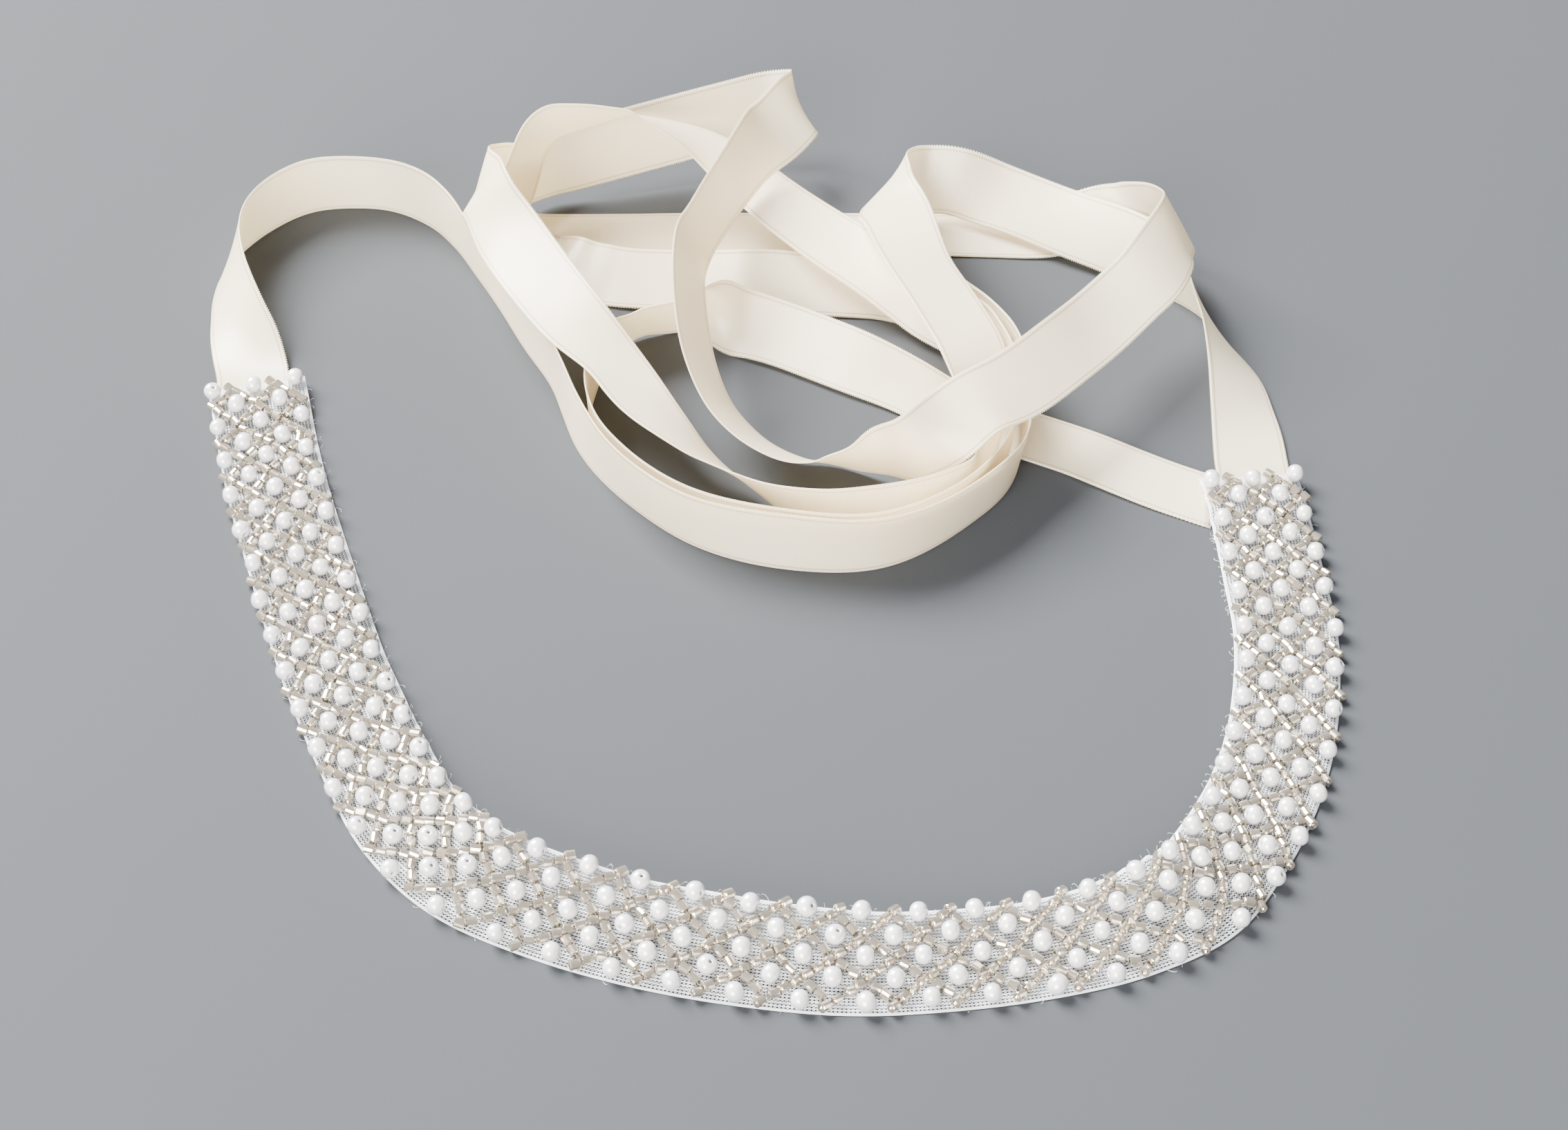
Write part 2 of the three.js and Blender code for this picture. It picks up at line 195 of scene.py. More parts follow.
RNG = np.random.default_rng(7)

# The band's middle line on the table, from the left tie round to the right tie, and how far its
# inner edge stands up where the curve rolls it: x, y, rise
BAND_LINE = [
    [-120.8, 58.5, 0],
    [-112.3, 24, 0],
    [-104, -2.5, 0],
    [-92.6, -36.4, 0.8],
    [-82.7, -59.8, 2.8],
    [-73.3, -77.4, 5.5],
    [-60.8, -91, 7.5],
    [-45.5, -99.3, 6.8],
    [-28.2, -105.8, 6.6],
    [-7.2, -110.8, 6.8],
    [12.6, -112.8, 5],
    [31.3, -111.6, 3.8],
    [50, -108.4, 2.6],
    [66, -104, 4.5],
    [80, -96.5, 6],
    [88, -85, 4.5],
    [94.9, -71.5, 2],
    [100.5, -56, 0.5],
    [104.5, -36.5, 0],
    [106, -19.2, 0],
    [105.4, -5, 0],
    [104.5, 12, 0],
    [102.8, 27, 0],
]

# How far the net lies to the outside of its bead rows: at its left end, and then each change as
# place along it, over what length, by how much
NET_SHIFT_START = -0.7
NET_SHIFTS = [
    [110, 50, 1.15],
    [275, 45, -1.0],
]

# Where the net puckers between its beads: place along it, how high, how wide
PUCKERS = [
    [125, 0.5, 7],
    [155, 0.6, 8],
    [303, 1.0, 9],
    [350, 0.7, 7],
    [375, 0.5, 6],
    [427, 0.5, 9],
]

# Each row is one section across a ribbon: selvage a, then selvage b: ax, ay, az, bx, by, bz
LEFT_TIE = {
    "left_tie_arch": [
        [-129, 54, 0.5, -113.2, 55, 0.5],
        [-129, 60, 0.5, -113.2, 61, 0.5],
        [-131.4, 70, 0.5, -116, 71.5, 3],
        [-133.2, 80, 0.4, -121, 80, 10.8],
        [-133.9, 90, 0.2, -125.5, 91, 14],
        [-133, 100, 0.1, -127.5, 101.5, 15.5],
        [-130, 109, 0, -127, 109, 16],
        [-122.5, 120, 0, -122, 119, 16],
        [-114.5, 126, 0, -114.5, 125, 16],
        [-104, 127.5, 0, -104.5, 126.5, 16],
        [-94.5, 126, 0, -94, 125, 16],
        [-85, 119.5, 0, -85.5, 120, 16],
        [-79.3, 112, 0, -79.5, 112, 16],
        [-72.5, 100, 0, -73, 98, 16],
        [-67.5, 90, 0, -67.5, 90, 16],
        [-60, 73.5, 0, -60, 73.5, 16],
    ],
    "left_tie_front_ring": [
        [-52.4, 58.3, 0, -52.4, 58.3, 16],
        [-50, 50, 0, -49.5, 50, 16],
        [-46.4, 38.7, 0, -46, 39, 16],
        [-34.5, 20, 0, -36, 19, 16],
        [-20, 6.3, 0, -21, 5, 16],
        [0, -1.2, 0, 0, -1.5, 16],
        [20, -1, 0, 20, -3, 16],
        [40, 12.4, 0, 41, 9, 16],
        [50.6, 26.6, 0.8, 53.5, 26, 16.3],
        [53, 36, 2, 54.3, 36, 17.6],
        [53.5, 46, 2, 54.6, 45, 17.6],
        [52, 57, 1.6, 53.3, 55.6, 17.4],
        [50, 65, 1, 50.3, 64.7, 16.8],
        [46, 71, 0.8, 45, 73.3, 16.4],
        [41, 75.5, 0.6, 41.6, 78, 15.3],
    ],
    "left_tie_low_strand": [
        [34, 79.5, 0.6, 37, 88, 12],
        [26, 83, 0.6, 29, 96, 8.5],
        [10, 85, 0.6, 10, 99.8, 6.5],
        [0, 86, 0.6, 0, 100.3, 7.8],
        [-20, 87.4, 0.6, -20, 102.3, 6.2],
        [-38, 88.4, 0.6, -39.5, 103.3, 6.2],
        [-46, 91.4, 0.6, -49.5, 106.3, 5.2],
        [-56, 96.4, 0.6, -59.4, 110.5, 5.5],
        [-64, 99.5, 0.8, -63, 106, 13],
        [-67, 105.5, 2.5, -65.5, 105.5, 18.3],
        [-64.5, 111, 5.5, -67.3, 108.3, 21],
    ],
    "left_tie_back_arch": [
        [-60.8, 115.5, 9.5, -65.3, 111.2, 24],
        [-58.5, 121, 13.3, -63.8, 115.5, 27.6],
        [-57, 127, 16.5, -60.8, 120.5, 30.5],
        [-54, 131.5, 17.5, -56, 124.5, 31.8],
        [-49.2, 134, 18, -49.4, 125.5, 31.5],
        [-41.9, 137.1, 18, -42, 126.3, 29.8],
        [-37.5, 140.1, 18.5, -36.6, 127, 27.5],
        [-28, 139.6, 17, -31.8, 126, 25],
        [-16.5, 136.6, 15, -25.2, 124.3, 20.8],
    ],
    "left_tie_cross_strand": [
        [-3.9, 128, 12.5, -16.4, 118.1, 15],
        [6.2, 117, 12, -6.5, 107.5, 12],
        [19.2, 103.5, 12, 7.3, 94.2, 9],
        [28.3, 95.5, 12.5, 17.5, 85.5, 6.8],
        [33, 88.5, 13.5, 25.5, 79.7, 4.6],
        [36, 80, 15.5, 31, 75, 3.3],
        [41, 74, 16.5, 37, 69.7, 2.6],
    ],
    "left_tie_inner_ring": [
        [46, 68.8, 16.6, 43.5, 65.5, 1.5],
        [48, 64.3, 16.5, 47, 62, 1.3],
        [50, 58.4, 17.2, 49.5, 56.5, 1.6],
        [51.3, 52, 17.6, 51, 50, 2],
        [51.8, 44, 17.7, 51.5, 43, 2.1],
        [51.5, 36, 17.6, 50.5, 36, 2],
        [50, 27.5, 16.3, 48, 28.5, 0.6],
        [39.7, 10.8, 16, 38.8, 14, 0],
        [20, -1, 16, 20, 1, 0],
        [0, 0.3, 16, 0, 0.8, 0],
        [-20, 7, 16, -19, 8.3, 0],
        [-34.8, 20.6, 16, -33.2, 21.5, 0],
        [-41, 31, 16, -40.5, 31.5, 0],
        [-43.5, 40, 15.5, -43, 40, 0],
        [-44, 47, 15.5, -44, 49, 0],
        [-43, 55, 14.5, -42, 61, 0.2],
        [-38.9, 63.3, 13.5, -37.4, 73.3, 0.6],
    ],
    "left_tie_tail": [
        [-32.6, 69.7, 14.8, -31.4, 77.8, 1],
        [-28, 71.8, 14.5, -27.5, 78.6, 0.8],
        [-21.3, 74.7, 13.6, -21.4, 80, 0.6],
        [-10, 82.5, 9.5, -11, 71, 1],
        [0, 80.9, 8, -4, 67.1, 1],
        [10.8, 75.4, 7.4, 5, 62, 1],
        [19.7, 70.1, 6.8, 14, 56.8, 1],
        [29.6, 65.9, 3.9, 23, 51.6, 0.8],
        [39.8, 59.7, 1.2, 31.9, 45.8, 0.5],
        [48, 54.5, 0.5, 42.5, 39.5, 0.5],
        [58.6, 48.9, 0.5, 53.7, 33.6, 0.5],
        [69.3, 43.2, 0.5, 64, 28.3, 0.5],
        [79.3, 36.8, 0.5, 74, 22, 0.5],
        [86.5, 32.7, 0.4, 79.3, 18.5, 0.4],
        [94.2, 28.7, 0.25, 87, 14.5, 0.25],
    ],
}

RIGHT_TIE = {
    "right_tie_start": [
        [96.3, 22.5, 0.5, 112.3, 22.5, 0.5],
        [96.3, 30.3, 0.5, 111.3, 30.5, 0.5],
        [96.4, 40, 3, 111, 40, 0.6],
        [96, 47.3, 6.5, 110.4, 50, 0.6],
        [96, 58.7, 9.3, 109.3, 57, 0.5],
        [95.3, 68.4, 11.8, 106.3, 65.4, 0.4],
        [94.1, 74.8, 14, 101.9, 76.4, 0.3],
        [92.6, 84.2, 15.3, 97.4, 84.8, 0.3],
    ],
    "right_tie_back_strand": [
        [88.5, 98, 14.5, 90.4, 90.8, 1],
        [82.5, 108, 13, 76.8, 99.6, 2],
        [71.2, 117.6, 11.6, 64.7, 106.3, 2.5],
        [60.5, 124.5, 11.6, 53.8, 112.7, 3.5],
        [51.8, 127, 13, 44.7, 118.5, 4],
        [43.4, 128, 16.5, 37.8, 121.3, 4.2],
        [35.8, 129.5, 15.5, 27.8, 121.7, 4],
        [30.6, 125.1, 18, 20, 117.4, 7.2],
        [28.8, 113.6, 19.5, 19.1, 112.7, 10.5],
        [31.4, 102.4, 20, 20.5, 101, 17.2],
    ],
    "right_tie_ring": [
        [37.1, 84.1, 19, 24.8, 74.4, 22],
        [41.3, 73, 19, 29.2, 64, 21.5],
        [44.6, 65, 18.5, 32.5, 56, 20.5],
        [47.3, 57.5, 17.5, 36, 48.5, 19],
        [47.8, 50, 14.8, 38, 39, 18.5],
        [47.6, 41, 10.5, 40, 28.5, 16.8],
        [46, 33, 6.5, 41.5, 21.5, 16.2],
        [42.6, 23.5, 1.2, 41, 16.5, 15.6],
        [35, 14, 0, 35.1, 12.6, 16],
        [29, 11, 0, 29, 9.8, 16],
        [19.3, 8.5, 0, 19.3, 7.7, 16],
        [9.7, 9, 0, 9.7, 6.7, 16],
        [0, 15.5, 1, -2, 8.5, 15.5],
        [-8, 22.5, 3, -9.7, 11.3, 15.5],
        [-12.7, 26.6, 4.8, -18.2, 16.6, 16],
        [-19.1, 32.7, 8.8, -24.5, 20, 17],
        [-26.3, 42, 12.6, -32.8, 28.1, 17],
        [-32.4, 54.2, 14, -42.4, 42.6, 18],
    ],
    "right_tie_wide_strand": [
        [-40.9, 65.6, 19.8, -54.9, 58.3, 18],
        [-47.2, 75.1, 22, -62.3, 70.8, 18],
        [-53.6, 84.1, 24.1, -68.3, 83.7, 18],
        [-60.8, 93.2, 26.6, -73, 97, 18.6],
        [-65.5, 100.5, 29, -74.5, 103, 20.5],
        [-68.8, 107, 28.5, -74, 109.5, 15],
        [-70.2, 112.6, 27.5, -73.1, 114.4, 12],
        [-67.5, 118, 25, -70, 119.5, 9.3],
    ],
    "right_tie_high_strand": [
        [-60.5, 127, 18.5, -64.5, 123.5, 3.5],
        [-51.5, 137, 16.5, -57.6, 127.6, 4],
        [-40, 142.8, 17.6, -43.6, 133.1, 4],
        [-28.8, 146.6, 18.6, -32.7, 136.9, 5],
        [-19.2, 149.7, 19.6, -22.5, 140.2, 6],
        [-9.6, 152.9, 20.2, -11.8, 143.8, 7],
        [-2.9, 155, 21, -3, 145.8, 8],
        [1.3, 153.7, 22.5, 5.9, 144.4, 9],
    ],
    "right_tie_drop": [
        [-1.1, 149.2, 23.3, 8.1, 140.8, 12.7],
        [-7, 136, 24.3, 5, 132, 14.7],
        [-10, 123.5, 29, -2, 122.5, 15.4],
        [-14, 112, 29, -8, 112, 14.6],
        [-19, 100, 28, -14, 100, 13],
        [-22.5, 87.5, 28.5, -17.5, 88.5, 13.5],
        [-24.5, 74.5, 30, -18.5, 77.5, 16.8],
        [-24.5, 60.5, 26, -17.5, 67, 13.3],
        [-22, 47, 19.5, -15, 56, 8.4],
        [-15.5, 33.5, 14, -10.5, 46, 4.8],
        [-6.5, 24.5, 11.8, -2.5, 37, 2.1],
        [2, 20.5, 11, 4.5, 33.5, 1.2],
    ],
    "right_tie_top_strand": [
        [8.8, 21.1, 11.5, 9, 32.7, 0.6],
        [15.7, 21, 13.8, 14, 29.7, 0.6],
        [21.7, 22.1, 17.3, 19.9, 26.2, 2],
        [28.2, 21, 23.9, 29.5, 19.5, 8],
        [34.1, 26, 25.5, 35.2, 17, 14.5],
        [39.4, 31.9, 25.5, 42.7, 19.5, 21],
        [48, 38.7, 26.1, 51.1, 25.6, 19.4],
        [59, 51.9, 26, 65.3, 39.5, 18.8],
        [66.7, 63.6, 23.8, 74.7, 51, 18],
        [73.5, 73.5, 23, 81.6, 60.4, 18],
        [80, 80, 24.5, 87, 69, 18],
        [83.6, 84.5, 27, 90.5, 76.5, 18],
        [86.7, 89.6, 29.5, 93, 83.4, 17.8],
    ],
    "right_tie_turn": [
        [87.5, 97.5, 27, 95.5, 95.5, 13.4],
        [85.5, 106, 22, 89, 107.3, 8],
        [79.4, 115.9, 15, 80.5, 106.5, 3.5],
        [72.6, 122.8, 9, 73.5, 109.5, 1.6],
        [63, 122.8, 4, 64, 107.2, 0.8],
    ],
    "right_tie_end": [
        [49.6, 123.5, 1, 49.9, 107.9, 0.5],
        [36.8, 124, 0.7, 38, 108.2, 0.5],
        [10, 124.3, 0.5, 10, 108.4, 0.5],
        [-21, 124.3, 0.5, -21, 108.4, 0.5],
        [-40, 124.3, 0.5, -40, 108.4, 0.5],
        [-62, 124.4, 0.5, -62, 108.4, 0.5],
        [-76, 125.3, 0.5, -75, 109.5, 0.5],
    ],
}


def smooth_line(points, marks):
    """A smooth line through points; the result gives the points at any distances along the chords."""
    steps = np.diff(points, axis=0) / np.diff(marks)[:, None]
    slopes = np.empty_like(points)
    slopes[0] = steps[0]
    slopes[-1] = steps[-1]
    share = ((marks[1:-1] - marks[:-2]) / (marks[2:] - marks[:-2]))[:, None]
    slopes[1:-1] = steps[:-1] * (1 - share) + steps[1:] * share

    def at(distance):
        i = np.clip(np.searchsorted(marks, distance, side="right") - 1, 0, len(marks) - 2)
        span = (marks[i + 1] - marks[i])[:, None]
        u = (distance - marks[i])[:, None] / span
        return (
            points[i] * (1 + 2 * u) * (1 - u) ** 2
            + slopes[i] * u * (1 - u) ** 2 * span
            + points[i + 1] * u * u * (3 - 2 * u)
            + slopes[i + 1] * u * u * (u - 1) * span
        )

    return at


def chord_marks(points):
    """The distance from the first point to each point, along the chords."""
    return np.concatenate([[0], np.cumsum(np.linalg.norm(np.diff(points, axis=0), axis=1))])


def unit(vectors):
    """The same vectors with a length of 1."""
    return vectors / np.linalg.norm(vectors, axis=-1, keepdims=True)


def evened(vectors, reach):
    """Each vector evened out with its neighbours, with the two ends kept."""
    weights = np.hanning(2 * reach + 3)[1:-1]
    weights = weights / weights.sum()
    ahead = 2 * vectors[:1] - vectors[reach:0:-1]
    after = 2 * vectors[-1:] - vectors[-2:-reach - 2:-1]
    held = np.concatenate([ahead, vectors, after])
    return np.stack([np.convolve(column, weights, "valid") for column in held.T], -1)


def eased(distance, start, length):
    """Rises from 0 to 1 over a length from a start, softly at both ends."""
    share = np.clip((distance - start) / length, 0, 1)
    return share * share * (3 - 2 * share)


def travel_of(middles):
    """The way forward at each middle."""
    return unit(np.gradient(middles, axis=0))


def make_object(name, parts, material, smooth=True):
    """One mesh from parts: each has points in table millimetres, faces and flat places in the cloth."""
    points, faces, places, count = [], [], [], 0
    for part in parts:
        points.append(part["points"].reshape(-1, 3))
        faces.extend((face + count).tolist() for face in part["faces"])
        places.append(part.get("places", np.zeros((len(points[-1]), 2))).reshape(-1, 2))
        count += len(points[-1])
    points = (np.concatenate(points) - REST_MIDDLE) * MM
    points[:, 2] = np.maximum(points[:, 2], 0)
    flat_faces = [face for group in faces for face in group]
    mesh = bpy.data.meshes.new(name)
    mesh.from_pydata(points.tolist(), [], flat_faces)
    layer = mesh.uv_layers.new(name="cut")
    corner_points = np.empty(len(mesh.loops), dtype=np.int32)
    mesh.loops.foreach_get("vertex_index", corner_points)
    layer.data.foreach_set("uv", np.concatenate(places)[corner_points].astype(np.float32).ravel())
    mesh.polygons.foreach_set("use_smooth", np.full(len(mesh.polygons), smooth))
    mesh.materials.append(material)
    mesh.update()
    piece = bpy.data.objects.new(name, mesh)
    bpy.context.scene.collection.objects.link(piece)
    return piece


def shell_part(upper, lower, places):
    """A closed thin shell between two grids of points."""
    rows, columns = upper.shape[:2]
    index = np.arange(rows * columns).reshape(rows, columns)
    under = index + rows * columns
    top = np.stack([index[:-1, :-1], index[:-1, 1:], index[1:, 1:], index[1:, :-1]], -1).reshape(-1, 4)
    bottom = np.stack([under[:-1, :-1], under[1:, :-1], under[1:, 1:], under[:-1, 1:]], -1).reshape(-1, 4)
    ring = np.concatenate([index[:, 0], index[-1, 1:], index[-2::-1, -1], index[0, -2:0:-1]])
    after = np.roll(ring, -1)
    painted_rim_shade = np.stack([ring, after, after + rows * columns, ring + rows * columns], -1)
    return {
        "points": np.concatenate([upper.reshape(-1, 3), lower.reshape(-1, 3)]),
        "faces": [top, bottom, painted_rim_shade],
        "places": np.concatenate([places.reshape(-1, 2), places.reshape(-1, 2)]),
    }


def copies_part(points, faces, centres, turns, places=None):
    """Copies of one small closed shape, each turned by its own three axes and moved to its own centre."""
    count = len(points)
    spots = np.einsum("nij,pj->npi", turns, points) + centres[:, None, :]
    firsts = (np.arange(len(centres)) * count)[:, None, None]
    every = [(face[None] + firsts).reshape(-1, face.shape[1]) for face in faces]
    if places is None:
        flat = np.zeros((len(centres) * count, 2))
    else:
        flat = np.repeat(places, count, axis=0)
    return {"points": spots.reshape(-1, 3), "faces": every, "places": flat}


def turned_shape(profile, sides):
    """A closed ring shape: a closed profile of (along, radius) turned round the first axis."""
    angles = np.arange(sides) * 2 * math.pi / sides
    along = np.repeat(profile[:, 0][None], sides, 0)
    points = np.stack([
        along,
        profile[:, 1][None] * np.cos(angles)[:, None],
        profile[:, 1][None] * np.sin(angles)[:, None],
    ], -1)
    index = np.arange(sides * len(profile)).reshape(sides, len(profile))
    beside = np.roll(index, -1, 0)
    faces = np.stack([index, np.roll(index, -1, 1), np.roll(beside, -1, 1), beside], -1).reshape(-1, 4)
    return points.reshape(-1, 3), [faces]


def axes_from(forward, up):
    """Turning matrices whose first column is forward and whose third is as near to up as it can be."""
    forward = unit(forward)
    side = unit(np.cross(up, forward))
    return np.stack([forward, side, np.cross(forward, side)], -1)


# The ribbon ties


def ribbon_sections(tie):
    """Middles, ways across and ways out of a ribbon's sections, evenly along it."""
    rows = np.array([row for stretch in tie.values() for row in stretch], dtype=float)
    edge_a, edge_b = rows[:, :3], rows[:, 3:]
    middles = (edge_a + edge_b) / 2
    marks = chord_marks(middles)
    distance = np.linspace(0, marks[-1], int(marks[-1] / RIBBON_STEP))
    middle = evened(smooth_line(middles, marks)(distance), MIDDLE_REACH)
    across = evened(smooth_line(unit(edge_b - edge_a), marks)(distance), ACROSS_REACH)
    travel = travel_of(middle)
    across = unit(across - (across * travel).sum(-1, keepdims=True) * travel)
    out = np.cross(across, travel)
    lowest = middle[:, 2] - np.abs(across[:, 2]) * RIBBON_WIDTH / 2 - np.abs(out[:, 2]) * RIBBON_THICK
    middle[:, 2] += np.maximum(-lowest, 0)
    return middle, across, out, chord_marks(middle)


def ribbon(name, tie, material, phase, end_reach):
    """A satin ribbon as a thin shell with slight waves, and a row of small loops along each selvage.

    The last end is cut on a slant: end_reach is how far its two selvages run on.
    """
    middle, across, out, distance = ribbon_sections(tie)
    shares = RIBBON_SHARES
    wave = sum(height * np.sin(distance / length + count * phase) for height, length, count in RIBBON_WAVES)
    cup = wave[:, None] * (shares[None] ** 2 - CUP_LEVEL)
    lean = LEAN_HEIGHT * np.sin(distance / LEAN_LENGTH + 3 * phase)[:, None] * shares[None]
    sheet = (
        middle[:, None]
        + across[:, None] * (shares * RIBBON_WIDTH / 2)[None, :, None]
        + out[:, None] * (cup + lean)[..., None]
    )
    slant = np.clip((distance - distance[-1]) / SLANT_LENGTH + 1, 0, 1)[:, None] ** 2
    reach = (end_reach[0] * (1 - shares) + end_reach[1] * (1 + shares))[None] / 2
    sheet = sheet + np.cross(out, across)[:, None] * (slant * reach)[..., None]
    half = np.where(np.abs(shares) > SELVAGE_SHARE, SELVAGE_SWELL, 1) * RIBBON_THICK / 2
    upper = sheet + out[:, None] * half[None, :, None]
    lower = sheet - out[:, None] * half[None, :, None]
    places = np.stack(np.broadcast_arrays((shares * RIBBON_WIDTH / 2)[None], distance[:, None]), -1)
    parts = [shell_part(upper, lower, places)]
    parts.extend(picots(sheet, across, out, distance))
    return make_object(name, parts, material), distance[-1]


def picots(sheet, across, out, distance):
    """The small loops of weft along both selvages, each drawn as a bead of eight faces."""
    loop = np.array([
        [PICOT_RADIUS, 0, 0],
        [0, PICOT_RADIUS, 0],
        [-PICOT_RADIUS, 0, 0],
        [0, -PICOT_RADIUS, 0],
        [0, 0, PICOT_HALF_HEIGHT],
        [0, 0, -PICOT_HALF_HEIGHT],
    ])
    above = [[a, (a + 1) % 4, 4] for a in range(4)]
    below = [[(a + 1) % 4, a, 5] for a in range(4)]
    spots = np.arange(PICOT_PITCH, distance[-1] - PICOT_PITCH, PICOT_PITCH)
    nearest = np.clip(np.searchsorted(distance, spots), 1, len(distance) - 1)
    share = ((spots - distance[nearest - 1]) / (distance[nearest] - distance[nearest - 1]))[:, None]
    parts = []
    for column, way in ((0, -1), (-1, 1)):
        edge = sheet[nearest - 1, column] * (1 - share) + sheet[nearest, column] * share
        turns = axes_from(np.cross(out[nearest], across[nearest]) * way, out[nearest])
        flat = np.stack([np.full(len(spots), way * RIBBON_WIDTH / 2), spots], -1)
        centres = edge + across[nearest] * way * PICOT_STAND
        parts.append(copies_part(loop, [np.array(above + below)], centres, turns, flat))
    return parts


# The net band


def band_lines():
    """The band's middle line, how far its inner edge stands up, and its length."""
    rows = np.array(BAND_LINE, dtype=float)
    points = rows * [1, 1, 0]
    marks = chord_marks(points)
    return smooth_line(points, marks), smooth_line(rows[:, 2:], marks), marks[-1]


BAND, BAND_RISE, BAND_LENGTH = band_lines()


def band_place(along, across):
    """Points on the net's upper side, and the ways along the net, across it and out of it."""
    near = 0.5
    travel = unit(BAND(np.clip(along + near, 0, BAND_LENGTH)) - BAND(np.clip(along - near, 0, BAND_LENGTH)))
    held = np.clip(along, 0, BAND_LENGTH)
    rise = np.maximum(BAND_RISE(held), 0)
    level = np.stack([travel[:, 1], -travel[:, 0], np.zeros(len(travel))], -1)
    side = (level * np.sqrt(BAND_WIDTH ** 2 - rise ** 2) - rise * [0, 0, 1]) / BAND_WIDTH
    out = np.cross(side, travel)
    to_end = np.minimum(along, BAND_LENGTH - along)
    lift = BAND_LIFT * (1 - eased(to_end, BAND_LIFT_LENGTH / 2, BAND_LIFT_LENGTH / 2))
    inner = np.clip(-across / (BAND_WIDTH / 2), 0, RUCK_REACH) ** 2
    drift = RUCK_DRIFT * np.sin(along / RUCK_DRIFT_LENGTH)
    ruck = RUCK_HEIGHT * (1 + np.sin(along / RUCK_LENGTH + drift))
    for place, height, spread in PUCKERS:
        swell = np.exp(-(((along - place) / spread) ** 2))
        ruck = ruck + height * swell * (1 + np.sin(along * PUCKER_TURNS))
    points = BAND(held) + side * across[:, None] + out * (NET_THICK + NET_STAND + inner * ruck)[:, None]
    points[:, 2] += rise[:, 0] / 2 + lift
    return points, travel, side, out


def net_shift(along):
    """How far the net lies to the outside of its bead rows: most along the front."""
    shift = NET_SHIFT_START
    for start, length, amount in NET_SHIFTS:
        shift = shift + amount * eased(along, start, length)
    return shift


def net_band(material):
    """The strip of net: a thin rucked sheet."""
    along = np.linspace(0, BAND_LENGTH, int(BAND_LENGTH / NET_STEP))
    across = np.linspace(-NET_WIDTH / 2, NET_WIDTH / 2, NET_COLUMNS)
    grid_along, grid_across = np.meshgrid(along, across, indexing="ij")
    points, _, _, out = band_place(grid_along.ravel(), (grid_across + net_shift(grid_along)).ravel())
    upper = points.reshape(len(along), len(across), 3)
    lower = (points - out * NET_THICK).reshape(upper.shape)
    upper = upper[:, ::-1]
    lower = lower[:, ::-1]
    places = np.stack([grid_across, grid_along], -1)[:, ::-1]
    return make_object("net_strip", [shell_part(upper, lower, places)], material)


def net_hairs(material):
    """Short loose threads that stand off the net's cut edges."""
    along = RNG.uniform(1, BAND_LENGTH - 1, HAIR_COUNT)
    way = np.where(RNG.random(HAIR_COUNT) < HAIR_INNER_SHARE, -1.0, 1.0)
    crowded = BAND_LENGTH - (BAND_LENGTH - along) ** HAIR_CROWDING / BAND_LENGTH ** (HAIR_CROWDING - 1)
    along = np.where(way < 0, crowded, along)
    start = way * (NET_WIDTH / 2 - NET_RIM) + net_shift(along)
    length = RNG.uniform(*HAIR_LENGTHS, HAIR_COUNT)
    slant = RNG.uniform(-HAIR_SLANT, HAIR_SLANT, HAIR_COUNT)
    steps = np.linspace(0, 1, HAIR_STEPS)
    points, faces = [], []
    for k in range(HAIR_COUNT):
        reach = start[k] + way[k] * length[k] * np.sin(steps * HAIR_CURL) * HAIR_REACH
        spread = along[k] + slant[k] * length[k] * steps
        path, travel, side, _ = band_place(spread, reach)
        rise = HAIR_RISE * np.sin(steps * HAIR_BOW) * RNG.uniform(*HAIR_RISE_SHARES)
        path[:, 2] = np.maximum(path[:, 2] + rise, HAIR_LOW)
        first = len(points) * 3
        for spot, ahead, beside in zip(path, travel, side):
            points.append([
                spot + beside * HAIR_HALF_WIDTH,
                spot - beside * HAIR_HALF_WIDTH,
                spot + ahead * HAIR_SKEW + [0, 0, HAIR_HEIGHT],
            ])
        for j in range(HAIR_STEPS - 1):
            base = first + j * 3
            for a, b in ((0, 1), (1, 2), (2, 0)):
                faces.append([base + a, base + b, base + b + 3, base + a + 3])
    hairs = {"points": np.array(points), "faces": [np.array(faces)]}
    return make_object("net_loose_threads", [hairs], material)


def pearl_columns():
    """How many columns of pearls the band holds, and the pitch that fills it evenly."""
    room = BAND_LENGTH - 2 * PEARL_END_MARGIN
    columns = round(room / PEARL_HALF_PITCH) + 1
    return columns, room / (columns - 1)


def pearl_places():
    """Where the pearls sit: five rows, every second row half a pitch on."""
    columns, pitch = pearl_columns()
    return np.array([
        (PEARL_END_MARGIN + column * pitch, (row - (PEARL_ROWS - 1) / 2) * PEARL_ROW_PITCH)
        for column in range(columns)
        for row in range(PEARL_ROWS)
        if (column + row) % 2 == 0
    ])


